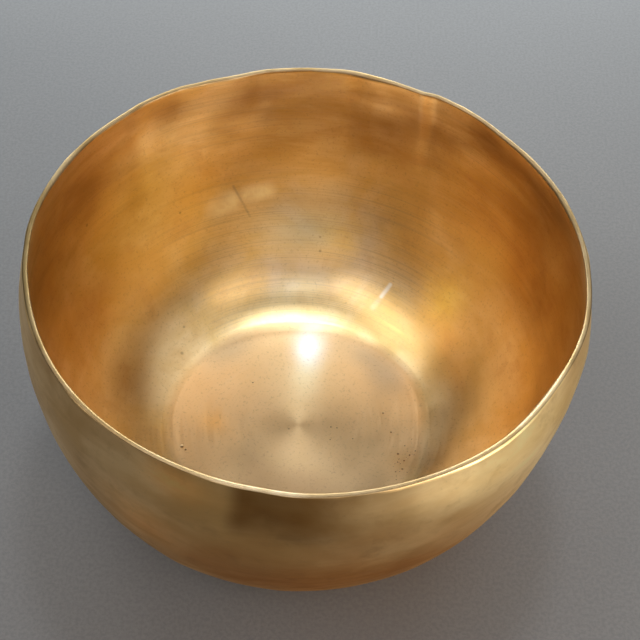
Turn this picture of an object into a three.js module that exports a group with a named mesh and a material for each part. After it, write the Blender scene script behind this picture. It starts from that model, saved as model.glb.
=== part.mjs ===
// A hand-raised singing bowl: one piece of bronze, hammered up from a round disc, with nothing joined to it.
// Millimetres, +Z up. The bowl stands on z = 0, and the origin is under the middle of its outline.
// The mouth is not a true circle: hammer flats wave the rim, and they fade out down the wall.

import * as THREE from "three";

// Driving dimensions.
const RIM_RADIUS = 100; // the lip's outer edge, where the mouth is true
const HEIGHT = 113; // from the resting face to the lip
const BELLY_RADIUS = 103.4; // the widest part of the outside
const BELLY_HEIGHT = 93;
const BASE_RADIUS = 48; // the flat that the bowl rests on
const FLOOR_RADIUS = 52; // the crease round the flat floor inside
const FLOOR_THICKNESS = 2.8;
const WALL_THICKNESS = 2.4; // half way up
const LIP_THICKNESS = 1.9;
const BASE_SHIFT = 1.1; // how far the base sits to the left of the mouth

// How the wall's outer curve turns between the driving dimensions.
const BASE_RUN = 30; // how far out past the base the curve aims before it turns up
const BELLY_RUN = 0.36; // share of the belly's height above which the curve aims straight up
const SHOULDER_RUN = 0.4; // share of the rise from belly to lip over which it still aims straight up
const LIP_LEAN = 1.2; // how far outside the lip the curve aims just below it
const LIP_DROP = 0.3; // how far below the lip that aim is, as a share of the rise

// The rounded top of the lip, as shares of the lip's thickness.
const LIP_CROWN_HALF_WIDTH = 0.22;
const LIP_CROWN_HEIGHT = 0.3;

// The metal's look.
const BRONZE = 0xb8833f;
const SATIN = 0.32; // roughness of the worn, brushed surface

// Mesh fineness.
const SEGMENTS = 90; // round the bowl
const LOWER_STEPS = 14; // up the outside from the base to the belly
const UPPER_STEPS = 6; // from the belly to the lip
const FLOOR_STEPS = 3; // across the floor inside
const CREASE_CLEARANCE = 1.5; // the wall's lowest points stay this far outside the crease
const CENTRE_RADIUS = 1e-6; // a point nearer to the axis than this is on it

// Hammer flats round the rim: [angle in degrees, how far the rim stands out there in mm].
const RIM_WAVE = [
  [0, 0.1], [20, 0], [41, -0.6], [52, 0.3], [61, 0.5], [65, -0.8], [75, -0.1], [83, 1.0], [90, 0.4],
  [101, 0], [111, -1.3], [118, -0.8], [124, 0.2], [133, 0.4], [139, -0.1], [150, 0.2], [175, 0.3],
  [187, -0.3], [196, -0.7], [220, -0.3], [245, -0.5], [262, -0.2], [272, 0.5], [290, 0.35],
  [309, 0.6], [328, -0.3], [345, 0.5],
];
const WAVE_FOOT = 0.45; // share of the height where the rim's wave has faded out

// The floor's crease is out of round too: [angle in degrees, how far the marks round it stand out in mm].
const CREASE_WAVE = [
  [0, 0], [14, 2], [32, 5], [48, 2.5], [66, -0.5], [94, -3],
  [122, -1.5], [155, 0.5], [200, 1.2], [270, 0], [320, -0.5],
];
const CREASE_SHARE = 0.6; // how much of that wave the metal itself takes
const CREASE_REACH = 9; // how far from the crease the wave fades out, in mm
const CREASE_TOP = 0.2; // share of the height above which the crease moves nothing
const UPPER_SIDE = 0.9; // a point above this share of the floor's thickness is on its upper side

// A smooth closed curve through [angle, value] pairs, read at any angle in degrees.
function around(pairs, angle) {
  const turn = ((angle % 360) + 360) % 360;
  const count = pairs.length;
  const i = pairs.findLastIndex(([a]) => a <= turn);
  const at = (k) => pairs[((k % count) + count) % count];
  const start = at(i)[0];
  const span = (at(i + 1)[0] - start + 360) % 360 || 360;
  const t = (turn - start) / span;
  const eased = t * t * (3 - 2 * t);
  return at(i)[1] * (1 - eased) + at(i + 1)[1] * eased;
}

// The outside of the wall as two curves: from the base flat to the belly, and from the belly in to the lip.
const lowerCurve = new THREE.CubicBezierCurve(
  new THREE.Vector2(BASE_RADIUS, 0),
  new THREE.Vector2(BASE_RADIUS + BASE_RUN, 0),
  new THREE.Vector2(BELLY_RADIUS, BELLY_HEIGHT * BELLY_RUN),
  new THREE.Vector2(BELLY_RADIUS, BELLY_HEIGHT),
);
const upperRise = HEIGHT - BELLY_HEIGHT;
const upperCurve = new THREE.CubicBezierCurve(
  new THREE.Vector2(BELLY_RADIUS, BELLY_HEIGHT),
  new THREE.Vector2(BELLY_RADIUS, BELLY_HEIGHT + upperRise * SHOULDER_RUN),
  new THREE.Vector2(RIM_RADIUS + LIP_LEAN, HEIGHT - upperRise * LIP_DROP),
  new THREE.Vector2(RIM_RADIUS, HEIGHT),
);

// The wall thins from the floor to the lip.
function thicknessAt(z) {
  const up = z / HEIGHT;
  const half = 0.5;
  return up < half
    ? THREE.MathUtils.lerp(FLOOR_THICKNESS, WALL_THICKNESS, up / half)
    : THREE.MathUtils.lerp(WALL_THICKNESS, LIP_THICKNESS, (up - half) / half);
}

// The point inside the wall that faces a point of an outside curve.
function inside(curve, t) {
  const p = curve.getPoint(t);
  const along = curve.getTangent(t);
  return new THREE.Vector2(-along.y, along.x).multiplyScalar(thicknessAt(p.y)).add(p);
}

// The whole section, from the middle of the base, up the outside, over the rounded lip and down to the floor.
function section() {
  const points = [new THREE.Vector2(0, 0), new THREE.Vector2(BASE_RADIUS / 2, 0)];
  for (let i = 0; i <= LOWER_STEPS; i++) {
    points.push(lowerCurve.getPoint(i / LOWER_STEPS));
  }
  for (let i = 1; i <= UPPER_STEPS; i++) {
    points.push(upperCurve.getPoint(i / UPPER_STEPS));
  }
  const lipMiddle = upperCurve.getPoint(1).add(inside(upperCurve, 1)).divideScalar(2);
  const crown = lipMiddle.y + LIP_THICKNESS * LIP_CROWN_HEIGHT;
  const halfWidth = LIP_THICKNESS * LIP_CROWN_HALF_WIDTH;
  points.push(new THREE.Vector2(lipMiddle.x + halfWidth, crown));
  points.push(new THREE.Vector2(lipMiddle.x - halfWidth, crown));
  for (let i = UPPER_STEPS; i >= 1; i--) {
    points.push(inside(upperCurve, i / UPPER_STEPS));
  }
  for (let i = LOWER_STEPS; i >= 0; i--) {
    const p = inside(lowerCurve, i / LOWER_STEPS);
    if (p.x > FLOOR_RADIUS + CREASE_CLEARANCE && p.y > FLOOR_THICKNESS) {
      points.push(p);
    }
  }
  for (let i = FLOOR_STEPS; i >= 0; i--) {
    points.push(new THREE.Vector2((FLOOR_RADIUS * i) / FLOOR_STEPS, FLOOR_THICKNESS));
  }
  return points;
}

// Moves one point of the true round bowl to where the hammering left it.
function hammered(v) {
  const radius = Math.hypot(v.x, v.y);
  if (radius < CENTRE_RADIUS) {
    return v.setX(v.x - BASE_SHIFT);
  }
  const angle = THREE.MathUtils.radToDeg(Math.atan2(v.y, v.x));
  const up = v.z / HEIGHT;
  const rimShare = THREE.MathUtils.smoothstep(up, WAVE_FOOT, 1);
  // The crease moves in and out with the lowest part of the wall, and the move fades out above and inside it.
  const byCrease = up < CREASE_TOP && v.z > FLOOR_THICKNESS * UPPER_SIDE;
  const fade = Math.exp(-(((radius - FLOOR_RADIUS) / CREASE_REACH) ** 2));
  const creaseShare = byCrease ? CREASE_SHARE * fade : 0;
  const out = around(RIM_WAVE, angle) * rimShare + around(CREASE_WAVE, angle) * creaseShare;
  const scale = (radius + out) / radius;
  return v.set(v.x * scale - BASE_SHIFT * (1 - up), v.y * scale, v.z);
}

function makeBowl() {
  const geometry = new THREE.LatheGeometry(section(), SEGMENTS);
  geometry.rotateX(Math.PI / 2); // the lathe turns about Y, and the bowl stands along Z
  const position = geometry.getAttribute("position");
  const v = new THREE.Vector3();
  for (let i = 0; i < position.count; i++) {
    hammered(v.fromBufferAttribute(position, i));
    position.setXYZ(i, v.x, v.y, v.z);
  }
  // The outline's middle goes over the origin.
  geometry.computeBoundingBox();
  const middle = geometry.boundingBox.getCenter(new THREE.Vector3());
  geometry.translate(-middle.x, -middle.y, 0);
  geometry.computeVertexNormals();
  const bronze = new THREE.MeshStandardMaterial({ color: BRONZE, roughness: SATIN, metalness: 1 });
  const bowl = new THREE.Mesh(geometry, bronze);
  bowl.name = "bowl";
  return bowl;
}

const singingBowl = new THREE.Group();
singingBowl.add(makeBowl());
export default singingBowl;
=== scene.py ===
"""The singing bowl's looks: a hand-hammered bronze bowl on a grey floor under soft studio light.

Metres, +Z up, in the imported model's frame, whose -Y side faces the camera. The bowl's dimensions and
marks are written in millimetres and degrees (0 is +X, 270 faces the camera)."""

import math

import bpy
import numpy as np
from mathutils import Matrix, Vector


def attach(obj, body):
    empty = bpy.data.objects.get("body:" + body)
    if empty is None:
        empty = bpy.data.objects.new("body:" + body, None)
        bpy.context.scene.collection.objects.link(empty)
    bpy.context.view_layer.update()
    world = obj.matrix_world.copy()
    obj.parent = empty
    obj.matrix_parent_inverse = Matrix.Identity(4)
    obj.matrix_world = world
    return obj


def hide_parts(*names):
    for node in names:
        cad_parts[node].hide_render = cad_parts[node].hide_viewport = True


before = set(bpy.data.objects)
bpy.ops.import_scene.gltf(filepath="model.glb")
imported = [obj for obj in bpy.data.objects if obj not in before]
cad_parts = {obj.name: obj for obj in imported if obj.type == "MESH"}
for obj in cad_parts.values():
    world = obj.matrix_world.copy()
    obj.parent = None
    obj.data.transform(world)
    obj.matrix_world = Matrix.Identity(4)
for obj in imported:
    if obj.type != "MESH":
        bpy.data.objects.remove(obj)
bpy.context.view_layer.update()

MM = 0.001

# ---------------------------------------------------------------- the bowl's section, in millimetres
RIM_RADIUS = 100.0  # the lip's outer edge, where the mouth is true
HEIGHT = 113.0
BELLY_RADIUS = 103.4
BELLY_HEIGHT = 93.0
BASE_RADIUS = 48.0  # the flat that the bowl rests on
FLOOR_RADIUS = 52.0  # the crease round the floor inside
FLOOR_THICKNESS = 2.8
FLOOR_DISH = 1.3  # how much higher the floor is at its crease than in its middle
FLOOR_DISH_POWER = 3  # of the radius, by which the dish rises
FLOOR_SINK = 0.6  # how far the dish's middle lies under the plain floor
WALL_THICKNESS = 2.4  # half way up
LIP_THICKNESS = 1.9
LIP_CROWN = 0.62  # how high the rounded lip rises, as a share of half its thickness
BASE_SHIFT = 1.1  # how far the base sits to the left of the mouth
CREASE_CLEARANCE = 3.0  # the wall's lowest ring stays this far outside the crease
CENTRE_RADIUS = 1e-6  # a point nearer to the axis than this is on it
NO_LENGTH = 1e-9  # a shorter normal has no direction, as in the middle of the base

# How the wall's outer curve turns between those dimensions.
BASE_RUN = 30  # how far out past the base the curve aims before it turns up
BELLY_RUN = 0.36  # share of the belly's height above which the curve aims straight up
SHOULDER_RUN = 0.4  # share of the rise from belly to lip over which it still aims straight up
LIP_LEAN = 1.2  # how far outside the lip the curve aims just below it
LIP_DROP = 0.3  # how far below the lip that aim is, as a share of the rise

# Mesh fineness.
SEGMENTS = 440
BASE_RINGS = 10
LOWER_RINGS = 70
UPPER_RINGS = 15
LIP_RINGS = 9
FLOOR_RINGS = 24

# Which side of the bowl a ring is on. These are also the numbers of the bowl's materials.
OUTSIDE, INSIDE, LIP, FLOOR = range(4)

# Hammer flats round the rim: (angle, how far the rim stands out there).
RIM_WAVE = [
    (0, 0.1), (20, 0), (41, -0.6), (52, 0.3), (61, 0.5), (65, -0.8), (75, -0.1), (83, 1.0), (90, 0.4),
    (101, 0), (111, -1.3), (118, -0.8), (124, 0.2), (133, 0.4), (139, -0.1), (150, 0.2), (175, 0.3),
    (187, -0.3), (196, -0.7), (220, -0.3), (245, -0.5), (262, -0.2), (272, 0.5), (290, 0.35),
    (309, 0.6), (328, -0.3), (345, 0.5),
]
WAVE_FOOT = 0.45  # share of the height where the rim's wave has faded out

# The floor's crease is out of round too: (angle, how far the marks round it stand out).
CREASE_WAVE = [
    (0, 0), (14, 2), (32, 5), (48, 2.5), (66, -0.5), (94, -3), (122, -1.5), (155, 0.5), (200, 1.2),
    (270, 0), (320, -0.5),
]
CREASE_SHARE = 0.6  # how much of that wave the metal itself takes
CREASE_REACH = 9  # how far from the crease the wave fades out
CREASE_TOP = 0.2  # share of the height above which the crease moves nothing
UPPER_SIDE = 0.9  # a point above this share of the floor's thickness is on its upper side

# Hammer blows outside: the metal is lowest in a blow's middle and rises to its edge.
BLOWS = 620
BLOW_REACH = 15.0
BLOW_WINDOW = 1.5  # points farther from a blow than this many reaches are passed over
BLOW_EDGE = 1.2  # the metal rises no more past this many reaches
BLOW_RISE = 0.3  # how high it stands one reach away
BLOW_MEAN = 0.1  # taken off, so that the blows leave the wall about as thick as before
BLOW_SEED = 3

# Slow unevenness of the wall, inside and outside.
SWELLS = ((75, 0.16), (48, 0.12), (30, 0.07), (20, 0.035))  # (wavelength, height)
WAVES_IN_SWELL = 5
SWELL_PEAK = 2.2  # the waves of a swell together rise to about this many times one wave
SWELL_SEED = 11
SWELL_OUTSIDE = 0.6  # share of it that shows outside

# Blows and swells grow from nothing to full between these multiples of the base's radius.
HAMMERED_FROM, HAMMERED_FULLY = 1.0, 1.35


def smoothstep(x, low, high):
    t = np.clip((x - low) / (high - low), 0, 1)
    return t * t * (3 - 2 * t)


def around(pairs, degrees):
    """A smooth closed curve through (angle, value) pairs, read at each angle."""
    angles = [a for a, _ in pairs]
    values = [v for _, v in pairs]
    angles = np.array([angles[-1] - 360] + angles + [angles[0] + 360])
    values = np.array([values[-1]] + values + [values[0]])
    turn = np.mod(degrees, 360)
    i = np.clip(np.searchsorted(angles, turn, side="right") - 1, 0, len(angles) - 2)
    t = smoothstep(turn, angles[i], angles[i + 1])
    return values[i] * (1 - t) + values[i + 1] * t


def bezier(p0, p1, p2, p3, t):
    """Points of a cubic curve, and the directions it runs in there."""
    t = np.asarray(t)[:, None]
    p0, p1, p2, p3 = (np.array(p, float) for p in (p0, p1, p2, p3))
    point = (1 - t) ** 3 * p0 + 3 * (1 - t) ** 2 * t * p1 + 3 * (1 - t) * t**2 * p2 + t**3 * p3
    slope = 3 * (1 - t) ** 2 * (p1 - p0) + 6 * (1 - t) * t * (p2 - p1) + 3 * t**2 * (p3 - p2)
    return point, slope / np.linalg.norm(slope, axis=1)[:, None]


def thickness_at(z):
    return np.interp(z / HEIGHT, [0, 0.5, 1], [FLOOR_THICKNESS, WALL_THICKNESS, LIP_THICKNESS])


def section():
    """Points (radius, height) from the middle of the base, out, up, over the lip and down to the floor's
    middle, with the side that each is on."""
    rise = HEIGHT - BELLY_HEIGHT
    lower = (
        (BASE_RADIUS, 0),
        (BASE_RADIUS + BASE_RUN, 0),
        (BELLY_RADIUS, BELLY_HEIGHT * BELLY_RUN),
        (BELLY_RADIUS, BELLY_HEIGHT),
    )
    upper = (
        (BELLY_RADIUS, BELLY_HEIGHT),
        (BELLY_RADIUS, BELLY_HEIGHT + rise * SHOULDER_RUN),
        (RIM_RADIUS + LIP_LEAN, HEIGHT - rise * LIP_DROP),
        (RIM_RADIUS, HEIGHT),
    )
    low_points, low_slopes = bezier(*lower, np.linspace(0, 1, LOWER_RINGS + 1))
    up_points, up_slopes = bezier(*upper, np.linspace(0, 1, UPPER_RINGS + 1)[1:])
    outer = np.vstack([low_points, up_points])
    slope = np.vstack([low_slopes, up_slopes])
    inward = np.stack([-slope[:, 1], slope[:, 0]], 1)
    inner = outer + inward * thickness_at(outer[:, 1])[:, None]

    base = np.stack([np.linspace(0, BASE_RADIUS, BASE_RINGS + 1)[:-1], np.zeros(BASE_RINGS)], 1)
    lip_middle = (outer[-1] + inner[-1]) / 2
    half = (outer[-1] - inner[-1]) / 2
    crown = np.array([-half[1], half[0]]) * LIP_CROWN
    turn = np.linspace(0, math.pi, LIP_RINGS + 2)[1:-1, None]
    lip = lip_middle + np.cos(turn) * half + np.sin(turn) * crown
    wall = inner[::-1]
    above_floor = wall[:, 1] > FLOOR_THICKNESS + FLOOR_DISH - FLOOR_SINK
    wall = wall[(wall[:, 0] > FLOOR_RADIUS + CREASE_CLEARANCE) & above_floor]
    floor_r = np.linspace(FLOOR_RADIUS, 0, FLOOR_RINGS + 1)
    floor_z = FLOOR_THICKNESS - FLOOR_SINK + FLOOR_DISH * (floor_r / FLOOR_RADIUS) ** FLOOR_DISH_POWER
    floor = np.stack([floor_r, floor_z], 1)

    points = np.vstack([base, outer, lip, wall, floor])
    sides = np.repeat([OUTSIDE, LIP, INSIDE], [len(base) + len(outer), LIP_RINGS, len(wall) + len(floor)])
    return points, sides


def blows(points):
    """Hammer blows spread over the surface: how many reaches each point is from the nearest blow."""
    gen = np.random.default_rng(BLOW_SEED)
    middles = points[gen.choice(len(points), BLOWS, replace=False)]
    nearest = np.full(len(points), BLOW_EDGE)
    for middle in middles:
        near = np.abs(points - middle).max(1) < BLOW_REACH * BLOW_WINDOW
        distance = np.linalg.norm(points[near] - middle, axis=1) / BLOW_REACH
        nearest[near] = np.minimum(nearest[near], distance)
    return nearest


def ripple(points):
    """Slow unevenness, in millimetres: a sum of seeded waves over the surface."""
    gen = np.random.default_rng(SWELL_SEED)
    total = np.zeros(len(points))
    for wavelength, amount in SWELLS:
        for _ in range(WAVES_IN_SWELL):
            direction = gen.normal(size=3)
            direction /= np.linalg.norm(direction)
            phase = gen.uniform(0, 2 * math.pi)
            total += amount / SWELL_PEAK * np.sin(points @ direction * 2 * math.pi / wavelength + phase)
    return total


def hammered(co, radius, sides):
    """Moves the wall's points to where the hammer left them: facets outside, and swells on both sides."""
    rings = len(co)
    along_section = np.gradient(co, axis=0)
    along_ring = np.roll(co, -1, axis=1) - np.roll(co, 1, axis=1)
    normal = np.cross(along_ring, along_section)
    length = np.linalg.norm(normal, axis=2, keepdims=True)
    normal = np.where(length > NO_LENGTH, normal / np.maximum(length, NO_LENGTH), [0, 0, 1.0])

    flat = co.reshape(-1, 3)
    outside = np.repeat(sides == OUTSIDE, SEGMENTS)
    facet = np.zeros(len(flat))
    facet[outside] = BLOW_RISE * blows(flat[outside]) ** 2
    facet = (facet.reshape(rings, SEGMENTS) - BLOW_MEAN) * (sides == OUTSIDE)[:, None]
    swell_share = np.select([sides == OUTSIDE, sides == INSIDE], [SWELL_OUTSIDE, 1.0], 0.0)[:, None]
    swell = ripple(flat).reshape(rings, SEGMENTS) * swell_share
    wall_share = smoothstep(radius / BASE_RADIUS, HAMMERED_FROM, HAMMERED_FULLY)
    return co + normal * ((facet + swell) * wall_share)[:, :, None]


def make_bowl():
    """The bowl's mesh, each face's and each vertex's ring, and how far its outline was moved to centre it."""
    points, sides = section()
    rings = len(points)
    radius = points[:, 0][:, None]
    z = np.repeat(points[:, 1][:, None], SEGMENTS, 1)
    up = z / HEIGHT
    degrees = np.arange(SEGMENTS) * 360 / SEGMENTS
    theta = np.radians(degrees)[None, :]
    rim_share = smoothstep(up, WAVE_FOOT, 1)
    by_crease = (up < CREASE_TOP) & (z > FLOOR_THICKNESS * UPPER_SIDE)
    crease_share = CREASE_SHARE * np.exp(-(((radius - FLOOR_RADIUS) / CREASE_REACH) ** 2)) * by_crease
    out = around(RIM_WAVE, degrees) * rim_share + around(CREASE_WAVE, degrees) * crease_share
    r = radius + np.where(radius > CENTRE_RADIUS, out, 0)
    co = np.stack([r * np.cos(theta) - BASE_SHIFT * (1 - up), r * np.sin(theta), z], 2)
    co = hammered(co, radius, sides)

    flat = co.reshape(-1, 3)
    middle = (flat.min(0) + flat.max(0)) / 2 * (1, 1, 0)
    co = (co - middle) * MM
    floor_z = FLOOR_THICKNESS - FLOOR_SINK
    base_middle = (Vector((-BASE_SHIFT, 0, 0)) - Vector(middle)) * MM
    floor_middle = (Vector((-BASE_SHIFT * (1 - FLOOR_THICKNESS / HEIGHT), 0, floor_z)) - Vector(middle)) * MM
    verts = [base_middle, *co[1:-1].reshape(-1, 3).tolist(), floor_middle]
    last_ring = rings - 2

    def index(ring, seg):
        return 1 + (ring - 1) * SEGMENTS + seg % SEGMENTS

    turn = range(SEGMENTS)
    faces = [(0, index(1, seg + 1), index(1, seg)) for seg in turn]
    for ring in range(1, last_ring):
        faces += [
            (index(ring, seg), index(ring, seg + 1), index(ring + 1, seg + 1), index(ring + 1, seg))
            for seg in turn
        ]
    faces += [(index(last_ring, seg), index(last_ring, seg + 1), len(verts) - 1) for seg in turn]
    mesh = bpy.data.meshes.new("bronze_bowl")
    mesh.from_pydata(verts, [], faces)
    mesh.polygons.foreach_set("use_smooth", np.ones(len(faces), bool))
    mesh.update()
    ring_of_face = np.repeat(np.arange(last_ring + 1), SEGMENTS)
    ring_of_vertex = np.concatenate([[0], np.repeat(np.arange(1, rings - 1), SEGMENTS), [rings - 1]])
    return mesh, ring_of_face, ring_of_vertex, middle * MM


# ---------------------------------------------------------------- marks and patina
# Patches of stain and wear, and of painted light and shade: (angle, radius, height, reach round, reach up,
# tint, side). The tint multiplies the metal's colour in the patch's middle. About a third of it is left at
# the reach, and none at twice that.
PATCHES = [
    # Inside, under the rim: dark clouds, and a pale streak.
    (126, 100, 101, 11, 9, (0.60, 0.52, 0.42), INSIDE),
    (106, 100, 97, 16, 8, (0.62, 0.54, 0.44), INSIDE),
    (62, 101, 93, 12, 9, (0.60, 0.50, 0.38), INSIDE),
    (36, 100, 103, 40, 8, (0.54, 0.47, 0.36), INSIDE),
    (24, 100, 88, 20, 12, (0.80, 0.74, 0.60), INSIDE),
    (150, 99, 90, 20, 16, (0.76, 0.66, 0.54), INSIDE),
    (134, 99, 88, 5, 26, (1.16, 1.24, 1.34), INSIDE),
    # The whole wall inside: darker at the sides, yellower at the left, and at the far side a painted
    # reflection of bluish light that makes it greyer.
    (0, 101, 85, 60, 32, (0.68, 0.60, 0.40), INSIDE),
    (180, 101, 85, 60, 32, (0.68, 0.60, 0.40), INSIDE),
    # Painted reflection of bluish light down the far side's middle, to the crease.
    (88, 100, 90, 46, 26, (0.66, 0.65, 0.74), INSIDE),
    (90, 87, 31, 26, 14, (0.60, 0.78, 1.50), INSIDE),
    (90, 93, 46, 28, 12, (0.80, 0.84, 1.10), INSIDE),
    (90, 78, 16, 40, 10, (1.00, 1.03, 1.22), INSIDE),
    (138, 96, 60, 32, 28, (0.97, 1.08, 0.90), INSIDE),
    # Clouds on the wall's middle and foot.
    (48, 98, 72, 18, 12, (0.88, 0.84, 0.76), INSIDE),
    (36, 94, 50, 14, 12, (1.04, 1.12, 1.10), INSIDE),
    (72, 100, 80, 22, 14, (0.80, 0.70, 0.58), INSIDE),
    (172, 74, 13, 15, 12, (0.66, 0.58, 0.50), INSIDE),
    (163, 92, 40, 18, 12, (0.80, 0.70, 0.58), INSIDE),
    (14, 71, 11, 18, 14, (0.70, 0.64, 0.58), INSIDE),
    (24, 96, 60, 22, 18, (0.82, 0.70, 0.56), INSIDE),
    (42, 83, 23.5, 9, 12, (1.24, 1.46, 1.24), INSIDE),
    (18, 90, 36, 30, 20, (1.06, 1.14, 1.36), INSIDE),
    (200, 86, 30, 22, 16, (1.14, 1.12, 1.06), INSIDE),
    (342, 88, 32, 22, 16, (1.10, 1.14, 1.14), INSIDE),
    # The floor inside: darker and greyer by the crease, a warm spot at the left, a painted highlight at the
    # far side, and painted shade at the front.
    (52, 48, 2.8, 12, 7, (0.74, 0.80, 0.92), INSIDE),
    (34, 48, 2.8, 12, 8, (0.74, 0.80, 0.92), INSIDE),
    (131, 50, 2.8, 12, 6, (0.74, 0.79, 0.88), INSIDE),
    (182, 36, 2.8, 5, 5, (1.10, 0.97, 0.72), INSIDE),
    # Painted highlight: the bright wedge at the far side of the floor.
    (87, 43, 2.8, 6, 9, (1.16, 1.50, 2.60), INSIDE),
    (86, 30, 2.8, 7, 14, (1.14, 1.36, 1.60), INSIDE),
    # Painted shade over the floor's front.
    (270, 38, 2.8, 42, 28, (0.52, 0.47, 0.44), INSIDE),
    (340, 48, 2.8, 7, 9, (0.80, 0.72, 0.62), INSIDE),
    # Outside: a darker front, a painted highlight at the right, and painted warm light at the left.
    (284, 103, 88, 22, 10, (0.80, 0.72, 0.62), OUTSIDE),
    # Painted highlight at the upper right, under the lip.
    (312, 102, 106, 34, 18, (1.18, 1.28, 1.32), OUTSIDE),
    (335, 102, 100, 30, 24, (1.12, 1.16, 1.18), OUTSIDE),
    (278, 97, 55, 70, 26, (0.70, 0.48, 0.26), OUTSIDE),
    # Painted warm light at the front left.
    (240, 100, 72, 14, 14, (1.30, 1.20, 1.05), OUTSIDE),
    (249, 101, 107, 12, 7, (1.35, 1.18, 0.95), OUTSIDE),
    # The lip: painted highlights in front and at the right, painted shade at the left.
    (318, 100, 113, 60, 9, (1.70, 1.75, 1.80), LIP),
    (261, 100, 113, 20, 9, (1.50, 1.62, 1.90), LIP),
    (192, 100, 113, 66, 9, (0.56, 0.55, 0.48), LIP),
]

# The waver that keeps patches from having smooth outlines: the swells again, at another scale and place.
WAVER_SCALE, WAVER_SHIFT, WAVER_SHARE = 2.3, 40, 0.6

# The dark patch outside, under the front lip, a painted dark reflection with some stain in it: a sharp left
# edge, a soft right one, and a ragged lower one.
STAIN_AND_REFLECTION_TINT = (0.36, 0.25, 0.13)
STAIN_AND_REFLECTION_LEFT = (257.2, 261.6)  # angles between which it comes in
STAIN_AND_REFLECTION_THINS, STAIN_AND_REFLECTION_THIN_SHARE = (268, 286), 0.6  # angles between which it loses most of its strength
STAIN_AND_REFLECTION_RIGHT = (289, 294)  # angles between which it ends
STAIN_AND_REFLECTION_HEIGHT = (84, 103)  # heights between which it comes in
STAIN_AND_REFLECTION_RAG = 12  # how far the waver moves its lower edge
STAIN_AND_REFLECTION_EDGE_RAG = 1.5  # how many degrees the waver moves its other edges
STAIN_AND_REFLECTION_STRENGTH, STAIN_AND_REFLECTION_CLOUD = 0.92, 0.9

# Specks and dents on the wall inside: (angle, radius, height, size).
SPECKS = [
    (148.5, 62.1, 5.5, 1), (140.2, 69.3, 9.1, 0.8), (126.6, 95.2, 48.5, 0.8), (86.2, 82.5, 22.7, 0.9),
    (86.6, 86.1, 28.1, 0.7), (153.7, 100.1, 71.8, 1), (110, 99.5, 84, 0.6), (118, 97.5, 60, 0.5),
]
# A scratch, and painted highlights on the wall inside: ((angle, radius, height) at each end, width).
SCRATCHES = [((111, 96.5, 53.3), (107.2, 91.2, 37.9), 0.9)]
# Painted highlights: dabs of light on the wall inside.
HIGHLIGHT_DABS = [((107, 95, 48), (102, 95.3, 49), 6.5), ((116, 94, 45), (112, 94.5, 46.4), 7.5)]
# A painted highlight along a streak, and a fainter, wider one beside it.
HIGHLIGHT_STREAKS = [((61, 78.5, 17.7), (62.2, 73.6, 13.4), 1.5)]
FAINT_HIGHLIGHT_STREAKS = [((61.5, 76.5, 16), (63.4, 69, 9.5), 2.2)]
# Pits in the floor inside: (angle, radius, size).
PITS = [
    (135, 29.5, 0.55), (13, 37.2, 0.75), (358, 39.7, 0.65), (209, 4.4, 0.45), (0, 14, 0.5),
    (359, 16.6, 0.45), (335, 15.3, 0.4), (347, 24.1, 0.45), (197, 50.1, 1.1), (199, 49, 0.7),
    (344, 44.3, 0.8), (341, 47.7, 0.65), (345, 49.1, 0.6), (348, 50.9, 0.5), (336, 48.5, 0.7),
    (333, 46.6, 0.5), (350, 46.2, 0.4), (339, 45.4, 0.45),
]
GRIT_COUNT = 16
GRIT_ANGLE, GRIT_ANGLE_SPREAD = 343, 7
GRIT_RADIUS, GRIT_RADIUS_SPREAD, GRIT_RADIUS_MOST = 48, 2.5, 51.5
GRIT_SIZE, GRIT_SIZE_SPREAD = 0.22, 0.16
GRIT_SEED = 5


def grit():
    """Small specks scattered round the group of pits at the right of the floor: (angle, radius, size)."""
    gen = np.random.default_rng(GRIT_SEED)
    return [
        (
            GRIT_ANGLE + gen.normal() * GRIT_ANGLE_SPREAD,
            min(GRIT_RADIUS_MOST, GRIT_RADIUS + gen.normal() * GRIT_RADIUS_SPREAD),
            GRIT_SIZE + GRIT_SIZE_SPREAD * gen.random(),
        )
        for _ in range(GRIT_COUNT)
    ]


def at(angle, radius, height):
    """A point of the bowl, in metres, from its angle in degrees and its radius and height in mm."""
    a = math.radians(angle)
    return radius * math.cos(a) * MM, radius * math.sin(a) * MM, height * MM


def stain_and_reflection(co, waver):
    """How strong the dark patch under the front lip (a painted dark reflection with some stain) is at each
    point, 0 to 1.
    """
    angle = np.degrees(np.arctan2(co[:, 1], co[:, 0])) % 360 + waver * STAIN_AND_REFLECTION_EDGE_RAG
    thinned = STAIN_AND_REFLECTION_THIN_SHARE * smoothstep(angle, *STAIN_AND_REFLECTION_THINS)
    ended = (1 - STAIN_AND_REFLECTION_THIN_SHARE) * smoothstep(angle, *STAIN_AND_REFLECTION_RIGHT)
    across = smoothstep(angle, *STAIN_AND_REFLECTION_LEFT) * (1 - thinned - ended)
    upward = smoothstep(co[:, 2] + waver * STAIN_AND_REFLECTION_RAG, *STAIN_AND_REFLECTION_HEIGHT)
    return np.clip(across * upward * (STAIN_AND_REFLECTION_STRENGTH + waver * STAIN_AND_REFLECTION_CLOUD), 0, 1)


def tints(co, sides):
    """A colour for each point to multiply the metal by, from the patches of stain, wear and painted light and
    shade, and from the dark patch under the front lip.
    """
    tint = np.ones((len(co), 3))
    waver = ripple(co * WAVER_SCALE + WAVER_SHIFT) * WAVER_SHARE
    for angle, radius, height, reach_round, reach_up, colour, side in PATCHES:
        a = math.radians(angle)
        offset = co - np.array(at(angle, radius, height)) / MM
        sideways = np.array([-math.sin(a), math.cos(a), 0])
        across = offset @ sideways
        along = np.linalg.norm(offset - across[:, None] * sideways, axis=1)
        distance = np.hypot(across / reach_round, along / reach_up) * (1 + waver)
        share = np.exp(-(distance**2)) * (sides == side)
        tint *= 1 + share[:, None] * (np.array(colour) - 1)
    share = stain_and_reflection(co, waver) * (sides == OUTSIDE)
    return tint * (1 + share[:, None] * (np.array(STAIN_AND_REFLECTION_TINT) - 1))


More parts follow.
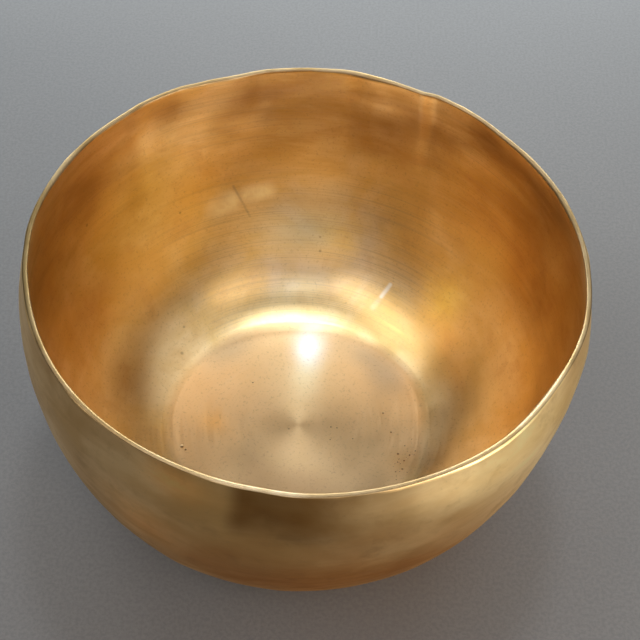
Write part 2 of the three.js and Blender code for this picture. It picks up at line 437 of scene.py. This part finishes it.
def add_attributes(mesh, ring_of_vertex, points, sides):
    """Gives each vertex its tint, and "turned", a place for the brushing: the direction from the axis as x
    and y, and the way along the section, in rim radii, as z."""
    co = np.empty(len(mesh.vertices) * 3)
    mesh.vertices.foreach_get("co", co)
    co = co.reshape(-1, 3) / MM
    steps = np.linalg.norm(np.diff(points, axis=0), axis=1)
    from_start = np.concatenate([[0], np.cumsum(steps)])
    along = np.where(sides == INSIDE, from_start[-1] - from_start, from_start)[ring_of_vertex]
    r = np.maximum(np.hypot(co[:, 0], co[:, 1]), CENTRE_RADIUS)
    turned = np.stack([co[:, 0] / r, co[:, 1] / r, along / RIM_RADIUS], 1)
    mesh.attributes.new("turned", "FLOAT_VECTOR", "POINT").data.foreach_set("vector", turned.reshape(-1))
    tint = tints(co, sides[ring_of_vertex])
    rgba = np.concatenate([tint, np.ones((len(tint), 1))], 1)
    mesh.attributes.new("tint", "FLOAT_COLOR", "POINT").data.foreach_set("color", rgba.reshape(-1))


# ---------------------------------------------------------------- materials
class Graph:
    """A new material, and short names for the shader nodes that the materials use."""

    SPOT_CORE = 0.35  # share of a spot's size that is at full strength
    STROKE_CORE = 0.15  # share of a stroke's width that is

    def __init__(self, name):
        self.material = bpy.data.materials.new(name)
        self.material.use_nodes = True
        self.tree = self.material.node_tree
        self.shader = self.tree.nodes["Principled BSDF"]

    def node(self, kind, **settings):
        node = self.tree.nodes.new(kind)
        for key, value in settings.items():
            setattr(node, key, value)
        return node

    def feed(self, socket, value):
        if isinstance(value, bpy.types.NodeSocket):
            self.tree.links.new(value, socket)
        else:
            socket.default_value = value

    def set(self, **values):
        """Feeds the shader's sockets, named with _ for each space."""
        for key, value in values.items():
            self.feed(self.shader.inputs[key.replace("_", " ")], value)

    def math(self, operation, a, b, clamp=False):
        node = self.node("ShaderNodeMath", operation=operation, use_clamp=clamp)
        self.feed(node.inputs[0], a)
        self.feed(node.inputs[1], b)
        return node.outputs[0]

    def times(self, first, *others):
        for other in others:
            first = self.math("MULTIPLY", first, other)
        return first

    def plus(self, first, *others):
        for other in others:
            first = self.math("ADD", first, other)
        return first

    def vector(self, operation, a, b=(0, 0, 0), output="Vector"):
        node = self.node("ShaderNodeVectorMath", operation=operation)
        self.feed(node.inputs[0], a)
        self.feed(node.inputs[1], b)
        return node.outputs[output]

    def axis(self, vector, name):
        node = self.node("ShaderNodeSeparateXYZ")
        self.feed(node.inputs[0], vector)
        return node.outputs[name]

    def span(self, value, low, high, to_low=0.0, to_high=1.0):
        """Eases from to_low to to_high as the value goes from low to high."""
        node = self.node("ShaderNodeMapRange", interpolation_type="SMOOTHSTEP")
        for key, number in (
            ("Value", value), ("From Min", low), ("From Max", high), ("To Min", to_low), ("To Max", to_high),
        ):
            self.feed(node.inputs[key], number)
        return node.outputs[0]

    def noise(self, vector, scale, detail, roughness, distortion=0.0, stretch=None):
        if stretch:
            vector = self.vector("MULTIPLY", vector, stretch)
        node = self.node("ShaderNodeTexNoise")
        for key, value in (
            ("Vector", vector), ("Scale", scale), ("Detail", detail), ("Roughness", roughness),
            ("Distortion", distortion),
        ):
            self.feed(node.inputs[key], value)
        return node.outputs["Fac"]

    def blend(self, factor, a, b, mode="MIX"):
        node = self.node("ShaderNodeMix", data_type="RGBA", blend_type=mode)
        self.feed(node.inputs[0], factor)
        self.feed(node.inputs[6], a)
        self.feed(node.inputs[7], b)
        return node.outputs[2]

    def attribute(self, name, output):
        return self.node("ShaderNodeAttribute", attribute_name=name).outputs[output]

    def place(self):
        return self.node("ShaderNodeTexCoord").outputs["Object"]

    def strongest(self, marks):
        total = marks[0]
        for mark in marks[1:]:
            total = self.math("MAXIMUM", total, mark)
        return total

    def spots(self, place, marks):
        """1 in each small round mark (x, y, z, size), fading to 0 at its edge. All in metres."""
        fades = []
        for x, y, z, size in marks:
            distance = self.vector("DISTANCE", place, (x, y, z), "Value")
            fades.append(self.span(distance, size * self.SPOT_CORE, size, 1.0, 0.0))
        return self.strongest(fades)

    def stroke(self, place, start, end, width):
        """1 along the line from start to end, fading to 0 at a distance of width. All in metres."""
        along = Vector(end) - Vector(start)
        from_start = self.vector("SUBTRACT", place, start)
        reached = self.vector("DOT_PRODUCT", from_start, tuple(along), "Value")
        nearest = self.node("ShaderNodeVectorMath", operation="SCALE")
        self.feed(nearest.inputs[0], tuple(along))
        self.feed(nearest.inputs["Scale"], self.math("DIVIDE", reached, along.length_squared, clamp=True))
        off = self.vector("SUBTRACT", from_start, nearest.outputs["Vector"])
        distance = self.vector("LENGTH", off, output="Value")
        return self.span(distance, width * self.STROKE_CORE, width, 1.0, 0.0)

    def strokes(self, place, marks):
        """The strongest of several strokes, each ((angle, radius, height) at both ends, width in mm)."""
        return self.strongest(
            [self.stroke(place, at(*start), at(*end), width * MM) for start, end, width in marks]
        )

    def bump(self, height_mm):
        node = self.node("ShaderNodeBump")
        self.feed(node.inputs["Height"], height_mm)
        self.feed(node.inputs["Distance"], MM)
        self.feed(node.inputs["Strength"], 1.0)
        self.set(Normal=node.outputs["Normal"])


# The metal inside.
GOLD, PALE_GOLD = (0.80, 0.52, 0.18, 1), (0.89, 0.65, 0.33, 1)
PATINA = (0.64, 0.35, 0.07, 1)
MOTTLED = (0.70, 0.41, 0.15, 1)
FLOOR_GOLD = (0.87, 0.565, 0.27, 1)
BRUSHED = (0.93, 0.74, 0.50, 1)
FLECKED = (0.42, 0.26, 0.12, 1)
SCRAPED = (0.45, 0.30, 0.17, 1)
# Painted highlight colours: the dabs and the streaks on the wall inside.
DAB_HIGHLIGHT = (1.0, 0.88, 0.62, 1)
STREAK_HIGHLIGHT, FAINT_STREAK_HIGHLIGHT = (1.0, 0.94, 0.80, 1), (1.0, 0.92, 0.76, 1)
SCRATCHED = (0.34, 0.24, 0.18, 1)
PITTED = (0.05, 0.028, 0.012, 1)
# The metal outside.
OUTER_GOLD, OUTER_PALE_GOLD = (0.76, 0.49, 0.19, 1), (0.92, 0.66, 0.33, 1)
OUTER_PATINA = (0.50, 0.27, 0.08, 1)
OUTER_MOTTLED = (0.55, 0.33, 0.12, 1)
OUTER_FLECKED = (0.36, 0.24, 0.12, 1)
LOW_SHADE = (0.80, 0.61, 0.35, 1)  # multiplies the colour towards the base
# The lip.
LIP_DULL, LIP_WORN = (0.33, 0.21, 0.09, 1), (0.42, 0.29, 0.15, 1)
LIP_NICKED = (0.50, 0.32, 0.15, 1)
LIP_SPECULAR = (0.72, 0.54, 0.34, 1)
# The floor that the bowl stands on.
GREY_LOW, GREY_HIGH = (0.152, 0.140, 0.127, 1), (0.170, 0.158, 0.144, 1)
GREY_GRAIN = (0.11, 0.105, 0.10, 1)

FLOOR_TOP = (0.0034, 0.0038)  # heights in metres between which the floor's looks give way to the wall's
PIT_SHADE = 0.85  # a pit's dark middle, as a share of its size


def bronze_inside(name, grain, is_floor):
    """The brushed metal inside, with marks for the floor or for the wall, and painted highlights on the wall.
    """
    g = Graph(name)
    place = g.place()
    turned = g.attribute("turned", "Vector")
    z = g.axis(place, "Z")
    on_floor = g.span(z, *FLOOR_TOP, 1.0, 0.0)
    off_floor = g.math("SUBTRACT", 1.0, on_floor)
    high = g.span(z, 0.02, 0.1)
    # The far side's middle, where the scraping is coarser.
    far = g.times(g.span(g.axis(turned, "Y"), 0.55, 0.95), g.span(z, 0.05, 0.065, 1.0, 0.0))

    blotch = g.noise(place, scale=26, detail=4, roughness=0.55, distortion=0.6)
    mottle = g.noise(place, scale=75, detail=4, roughness=0.6, distortion=0.3)
    fleck = g.noise(place, scale=1000, detail=3, roughness=0.6)
    smear = g.noise(turned, scale=1, detail=4, roughness=0.6, distortion=0.4, stretch=(2.4, 2.4, 9))
    hair = g.noise(turned, scale=1, detail=2, roughness=0.6, stretch=(2.2, 2.2, 420))
    groove = g.noise(turned, scale=1, detail=2, roughness=0.5, stretch=(0.6, 0.6, 95))
    scrape = g.noise(turned, scale=1, detail=3, roughness=0.6, stretch=(0.9, 0.9, 210))
    where = g.span(g.noise(turned, scale=1, detail=2, roughness=0.5, stretch=(1.2, 1.2, 2.2)), 0.42, 0.62)

    colour = g.blend(g.span(blotch, 0.34, 0.66), GOLD, PALE_GOLD)
    patina = g.times(g.span(smear, 0.40, 0.72), g.plus(g.times(high, 0.55), 0.20))
    colour = g.blend(patina, colour, PATINA)
    colour = g.blend(g.span(mottle, 0.50, 0.72, 0.0, 0.45), colour, MOTTLED)
    colour = g.blend(g.times(on_floor, 0.80), colour, FLOOR_GOLD)
    colour = g.blend(g.span(hair, 0.35, 0.7, 0.0, 0.10), colour, BRUSHED)
    colour = g.blend(g.span(fleck, 0.54, 0.72, 0.0, 0.34), colour, FLECKED)
    scraped = g.times(g.plus(g.times(far, 0.30), g.times(where, high, 0.30)), off_floor)
    colour = g.blend(g.times(g.span(scrape, 0.48, 0.66), scraped), colour, SCRAPED)
    # The tint: stain and wear, and painted light and shade.
    colour = g.blend(1.0, colour, g.attribute("tint", "Color"), "MULTIPLY")
    if is_floor:
        marks = [(*at(angle, radius, 0), size * PIT_SHADE * MM) for angle, radius, size in PITS + grit()]
        pit = g.spots(g.vector("MULTIPLY", place, (1, 1, 0)), marks)
    else:
        marks = [(*at(angle, radius, height), size * MM) for angle, radius, height, size in SPECKS]
        pit = g.times(g.spots(place, marks), 0.4)
        # Painted highlights on the wall: dabs of light, and a streak with a fainter one beside it; and a
        # scratch.
        highlight_dab = g.times(g.strokes(place, HIGHLIGHT_DABS), g.span(mottle, 0.35, 0.6, 0.45, 0.95))
        scratch = g.times(g.strokes(place, SCRATCHES), g.span(mottle, 0.35, 0.6, 0.15, 0.5))
        colour = g.blend(highlight_dab, colour, DAB_HIGHLIGHT)
        colour = g.blend(g.times(g.strokes(place, HIGHLIGHT_STREAKS), 0.65), colour, STREAK_HIGHLIGHT)
        colour = g.blend(g.times(g.strokes(place, FAINT_HIGHLIGHT_STREAKS), 0.16), colour, FAINT_STREAK_HIGHLIGHT)
        colour = g.blend(scratch, colour, SCRATCHED)
    colour = g.blend(g.times(pit, 0.72), colour, PITTED)

    rough = g.plus(0.27, g.span(hair, 0.38, 0.62, 0.0, 0.09), g.times(blotch, 0.06))
    rough = g.plus(rough, g.times(patina, 0.12), g.times(pit, 0.3))
    depth = g.plus(g.times(where, 0.003), g.times(far, 0.006))
    lines = g.times(groove, depth, g.math("MAXIMUM", far, g.span(z, 0.018, 0.04)), off_floor)
    relief = g.plus(lines, g.times(hair, 0.0015), g.times(mottle, 0.05))
    g.bump(g.math("SUBTRACT", relief, g.times(pit, 0.12)))
    tangent = g.node("ShaderNodeTangent", direction_type="RADIAL", axis="Z")
    g.set(Base_Color=colour, Roughness=rough, Metallic=1, Coat_Weight=0.35, Coat_Roughness=0.22)
    g.set(Anisotropic=grain, Anisotropic_Rotation=0.25, Tangent=tangent.outputs[0])
    return g.material


def bronze_outside():
    """The duller metal outside, darker towards the base."""
    g = Graph("bronze_outside")
    place = g.place()
    turned = g.attribute("turned", "Vector")
    low = g.span(g.axis(place, "Z"), 0.02, 0.095, 1.0, 0.0)
    blotch = g.noise(place, scale=24, detail=4, roughness=0.55, distortion=0.5)
    mottle = g.noise(place, scale=90, detail=4, roughness=0.6, distortion=0.3)
    fleck = g.noise(place, scale=520, detail=3, roughness=0.6)
    smear = g.noise(turned, scale=1, detail=4, roughness=0.6, distortion=0.4, stretch=(2.6, 2.6, 7))
    hair = g.noise(turned, scale=1, detail=3, roughness=0.65, stretch=(4, 4, 160))

    colour = g.blend(g.span(blotch, 0.34, 0.66), OUTER_GOLD, OUTER_PALE_GOLD)
    patina = g.times(g.span(smear, 0.38, 0.66), g.plus(g.times(low, 0.50), 0.30))
    colour = g.blend(patina, colour, OUTER_PATINA)
    colour = g.blend(g.span(mottle, 0.50, 0.72, 0.0, 0.42), colour, OUTER_MOTTLED)
    colour = g.blend(g.span(fleck, 0.58, 0.80, 0.0, 0.20), colour, OUTER_FLECKED)
    colour = g.blend(g.times(low, 0.75), colour, g.blend(1.0, colour, LOW_SHADE, "MULTIPLY"))
    # The tint: stain and wear, painted light and shade, and the painted dark reflection under the front lip.
    colour = g.blend(1.0, colour, g.attribute("tint", "Color"), "MULTIPLY")
    rough = g.plus(0.38, g.times(blotch, 0.12), g.times(patina, 0.16), g.times(hair, 0.08))
    g.set(Base_Color=colour, Roughness=rough, Metallic=1)
    g.bump(g.plus(g.times(mottle, 0.05), g.times(hair, 0.008), g.times(fleck, 0.008)))
    return g.material


def bronze_lip():
    """The lip, worn and nicked."""
    g = Graph("bronze_lip")
    place = g.place()
    wear = g.noise(place, scale=60, detail=3, roughness=0.6)
    nick = g.noise(place, scale=340, detail=3, roughness=0.6)
    colour = g.blend(g.span(wear, 0.35, 0.65), LIP_DULL, LIP_WORN)
    colour = g.blend(g.span(nick, 0.58, 0.76, 0.0, 0.5), colour, LIP_NICKED)
    # The tint: painted highlights and painted shade round the lip.
    colour = g.blend(1.0, colour, g.attribute("tint", "Color"), "MULTIPLY")
    g.set(Base_Color=colour, Roughness=g.plus(0.38, g.times(wear, 0.12)))
    g.set(Metallic=1, Specular_Tint=LIP_SPECULAR)
    g.bump(g.plus(g.times(wear, 0.05), g.times(nick, 0.015)))
    return g.material


def floor_paint():
    """A matt grey with a fine grain."""
    g = Graph("floor_paint")
    place = g.place()
    grain = g.noise(place, scale=700, detail=3, roughness=0.7)
    cloud = g.noise(place, scale=3, detail=3, roughness=0.5)
    grey = g.blend(g.span(cloud, 0.3, 0.7), GREY_LOW, GREY_HIGH)
    grey = g.blend(g.span(grain, 0.35, 0.65, 0.0, 0.45), grey, GREY_GRAIN)
    g.set(Base_Color=grey, Roughness=g.plus(0.7, g.times(grain, 0.2)))
    g.bump(g.times(grain, 0.06))
    return g.material


# ---------------------------------------------------------------- the bowl
section_points, section_sides = section()
bowl_mesh, face_ring, vertex_ring, outline_middle = make_bowl()
bowl = bpy.data.objects.new("bronze_bowl", bowl_mesh)
bpy.context.collection.objects.link(bowl)
add_attributes(bowl_mesh, vertex_ring, section_points, section_sides)
wall_inside = bronze_inside("bronze_inside", grain=0.55, is_floor=False)
floor_inside = bronze_inside("bronze_floor", grain=0.35, is_floor=True)
for material in (bronze_outside(), wall_inside, bronze_lip(), floor_inside):
    bowl_mesh.materials.append(material)
on_floor_ring = face_ring >= len(section_points) - FLOOR_RINGS - 1
material_numbers = np.where(on_floor_ring, FLOOR, section_sides[face_ring])
bowl_mesh.polygons.foreach_set("material_index", material_numbers.astype(np.int32))

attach(bowl, "root")
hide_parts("bowl")

# ---------------------------------------------------------------- floor
FLOOR_HALF = 3  # metres
floor_corners = [(x * FLOOR_HALF, y * FLOOR_HALF, 0) for x, y in ((-1, -1), (1, -1), (1, 1), (-1, 1))]
floor_mesh = bpy.data.meshes.new("floor")
floor_mesh.from_pydata(floor_corners, [], [(0, 1, 2, 3)])
floor_mesh.materials.append(floor_paint())
floor = bpy.data.objects.new("floor", floor_mesh)
bpy.context.collection.objects.link(floor)

# ---------------------------------------------------------------- camera
ELEVATION = math.radians(47.72)  # the camera's, seen from the middle of the rim
DISTANCE = 4.2 * RIM_RADIUS * MM
PAN, TILT, ROLL = math.radians(0.74), math.radians(-3.31), math.radians(3.3)
LENS, SENSOR_WIDTH = 66.6, 36  # millimetres
CLIP_START = 0.01  # metres

rim_middle = Vector((-outline_middle[0], -outline_middle[1], HEIGHT * MM))
camera_place = rim_middle + DISTANCE * Vector((0, -math.cos(ELEVATION), math.sin(ELEVATION)))
ahead = (rim_middle - camera_place).normalized()
right = ahead.cross(Vector((0, 0, 1))).normalized()
upward = right.cross(ahead)
ahead = (ahead + math.tan(PAN) * right + math.tan(TILT) * upward).normalized()
right = ahead.cross(upward).normalized()
upward = right.cross(ahead)
right, upward = (
    math.cos(ROLL) * right + math.sin(ROLL) * upward,
    math.cos(ROLL) * upward - math.sin(ROLL) * right,
)
camera_data = bpy.data.cameras.new("camera")
camera_data.lens = LENS
camera_data.sensor_width = SENSOR_WIDTH
camera_data.clip_start = CLIP_START
camera = bpy.data.objects.new("camera", camera_data)
facing = Matrix((right, upward, -ahead)).transposed().to_4x4()
camera.matrix_world = Matrix.Translation(camera_place) @ facing
bpy.context.collection.objects.link(camera)
bpy.context.scene.camera = camera

# ---------------------------------------------------------------- light
AIM = Vector((0, 0, 0.06))  # what every light faces
SKY = (0.8, 0.85, 0.9, 1)
SKY_STRENGTH = 0.03


def softbox(name, azimuth, elevation, distance, size, watts, colour):
    """A rectangular light that faces the bowl. Azimuth 0 is the camera's side, and 90 is to its right."""
    a, e = math.radians(azimuth), math.radians(elevation)
    towards = Vector((math.sin(a) * math.cos(e), -math.cos(a) * math.cos(e), math.sin(e)))
    light = bpy.data.lights.new(name, "AREA")
    light.shape = "RECTANGLE"
    light.size, light.size_y = size
    light.energy = watts
    light.color = colour
    lamp = bpy.data.objects.new(name, light)
    lamp.location = AIM + distance * towards
    lamp.rotation_euler = (-towards).to_track_quat("-Z", "Y").to_euler()
    lamp.visible_camera = False
    bpy.context.collection.objects.link(lamp)


# (name, azimuth, elevation, distance, width and height, watts, colour), in degrees and metres.
softbox("window", 175, 73, 1.6, (0.20, 0.24), 5.4, (0.76, 0.86, 1.0))
softbox("front", 2, 60, 1.6, (0.34, 0.34), 2.0, (0.66, 0.78, 1.0))
softbox("front_right", 42, 50, 1.6, (0.8, 0.5), 3.2, (1.0, 0.93, 0.88))
softbox("front_left", 307, 56, 1.6, (1.3, 0.55), 7.0, (1.0, 0.98, 1.0))
softbox("right", 108, 54, 1.6, (1.5, 0.9), 3.1, (1.0, 0.97, 0.93))
softbox("left", 250, 62, 1.6, (0.9, 0.7), 3.4, (0.98, 0.99, 1.0))
softbox("low_right", 50, 11, 1.6, (0.5, 0.25), 20.0, (1.0, 0.95, 0.88))
softbox("back", 180, 19, 0.75, (1.1, 0.2), 10.5, (0.78, 0.90, 1.0))

scene = bpy.context.scene
world = bpy.data.worlds.new("studio")
world.use_nodes = True
background = world.node_tree.nodes["Background"]
background.inputs["Color"].default_value = SKY
background.inputs["Strength"].default_value = SKY_STRENGTH
scene.world = world
scene.view_settings.view_transform = "Standard"
scene.cycles.use_denoising = True
